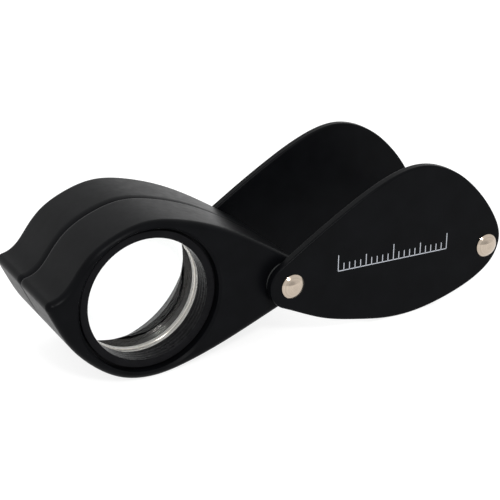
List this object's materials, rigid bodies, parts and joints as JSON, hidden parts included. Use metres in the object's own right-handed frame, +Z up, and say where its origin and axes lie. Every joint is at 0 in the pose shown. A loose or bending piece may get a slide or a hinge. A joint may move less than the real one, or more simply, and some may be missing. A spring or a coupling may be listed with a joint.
{
  "type": "folding triplet loupe",
  "caption": "Folding pocket magnifier: a teardrop lens housing swings about one rivet between two teardrop cover plates.",
  "frame": {"origin": "on the plane that the half-open loupe stands on, under the middle of its length and width", "axes": "+X from the lens housing to the cover plates, +Y along the lens axis away from the front cover, +Z up"},
  "size_m": [0.0761, 0.0278, 0.0243],
  "materials": {
    "cover_black": "satin black paint on sheet steel",
    "housing_black": "satin black coat",
    "barrel_black": "matt black anodised",
    "ring_black": "satin black anodised",
    "seat_bright": "bright turned",
    "rivet_nickel": "nickel plated",
    "spacer_steel": "brushed",
    "washer_black": "matt nylon",
    "bush_brass": "turned",
    "lens_glass": "polished",
    "print_white": "white screen print"
  },
  "bodies": {
    "covers": {"front_cover_plate": "cover_black", "rear_cover_plate": "cover_black", "pivot_rivet_post": "rivet_nickel", "pivot_rivet_pin": "rivet_nickel", "end_rivet_post": "rivet_nickel", "end_rivet_pin": "rivet_nickel", "end_spacer": "spacer_steel", "front_pivot_washer": "washer_black", "rear_pivot_washer": "washer_black"},
    "lens_housing": {"front_housing_shell": "housing_black", "rear_housing_shell": "housing_black", "pivot_bush": "bush_brass", "lens_barrel": "barrel_black", "front_retaining_ring": "ring_black", "rear_retaining_ring": "ring_black", "front_sleeve": "barrel_black", "rear_field_stop": "barrel_black", "front_lens_seat": "seat_bright", "rear_lens_seat": "ring_black", "front_flint_lens": "lens_glass", "crown_lens": "lens_glass", "rear_flint_lens": "lens_glass"}
  },
  "joints": [
    {"name": "housing_fold", "type": "hinge", "parent": "covers", "child": "lens_housing", "pos_m": [0, 0, 0.00995], "axis": [0, 1, 0], "range_deg": [-169, 166]}
  ]
}
